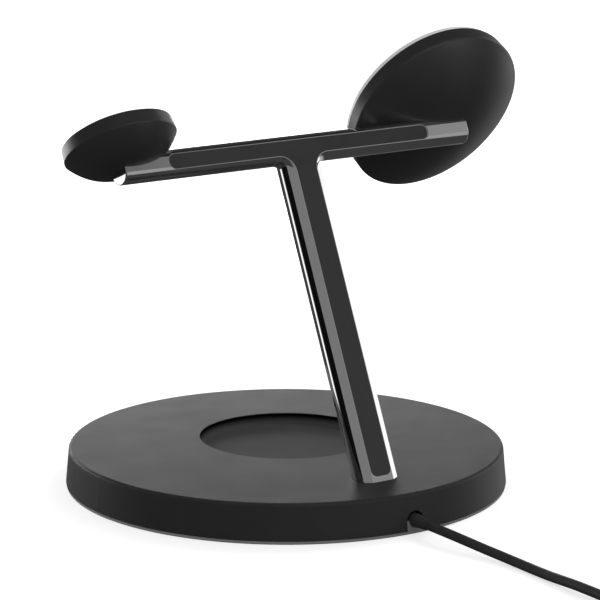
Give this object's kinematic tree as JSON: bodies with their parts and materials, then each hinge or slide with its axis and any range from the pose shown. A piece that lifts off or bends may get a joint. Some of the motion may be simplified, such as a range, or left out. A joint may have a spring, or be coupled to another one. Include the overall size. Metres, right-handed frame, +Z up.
{
  "type": "three in one wireless charger",
  "caption": "Round weighted base with an earbud well, a leaning polished stem and cross bar, and two domed cups that hold a phone and a watch charging face, on a captive cord",
  "frame": {"origin": "on the table, under the centre of the round base", "axes": "+Z up, -Y towards the user, +Y out along the cord, -X towards the phone cup, +X towards the watch cup"},
  "size_m": [0.1626, 0.2475, 0.136],
  "materials": {
    "dark_housing": "soft-touch matte, fine grain",
    "grey_pad": "matte silicone",
    "inner_plastic": "plain moulded",
    "steel": "zinc plated",
    "copper": "wound litz wire",
    "ferrite": "pressed ferrite",
    "board": "solder mask",
    "white_plastic": "plain moulded",
    "polished_metal": "mirror polished",
    "inlay": "matte, fine grain",
    "bright_ring": "satin",
    "white_face": "soft matte white",
    "cord_rubber": "matte cord jacket",
    "plug_plastic": "moulded grip",
    "plug_metal": "nickel plated",
    "lead_sheath": "thin lead sheath"
  },
  "bodies": {
    "root": {"base_top_cover": "dark_housing", "base_foot_pad": "grey_pad", "base_bottom_plate": "inner_plastic", "ballast_plate": "steel", "base_screws": "steel", "earbud_coil": "copper", "earbud_ferrite": "ferrite", "main_board": "board", "board_screws": "steel", "board_inductors": "ferrite", "board_capacitors": "steel", "board_controllers": "inner_plastic", "board_connectors": "white_plastic", "stand_frame": "polished_metal", "stand_inlay": "inlay", "stand_socket": "steel", "stand_pin": "steel", "socket_screws": "steel", "phone_housing": "dark_housing", "phone_module_ring": "bright_ring", "phone_face": "white_face", "phone_magnets": "steel", "phone_coil": "copper", "phone_ferrite": "ferrite", "phone_back_plate": "steel", "phone_screw": "steel", "watch_housing": "dark_housing", "watch_face": "white_face", "watch_magnet": "steel", "watch_coil": "copper", "watch_ferrite": "ferrite", "watch_back_plate": "steel", "watch_screw": "steel", "phone_lead": "lead_sheath", "watch_lead": "lead_sheath", "earbud_lead": "lead_sheath", "power_lead": "lead_sheath", "strain_relief": "cord_rubber", "cord_tube": "cord_rubber", "cord_coil": "cord_rubber", "cord_tie": "cord_rubber", "cord_plug": "plug_plastic", "plug_shell": "plug_metal"}
  },
  "joints": []
}
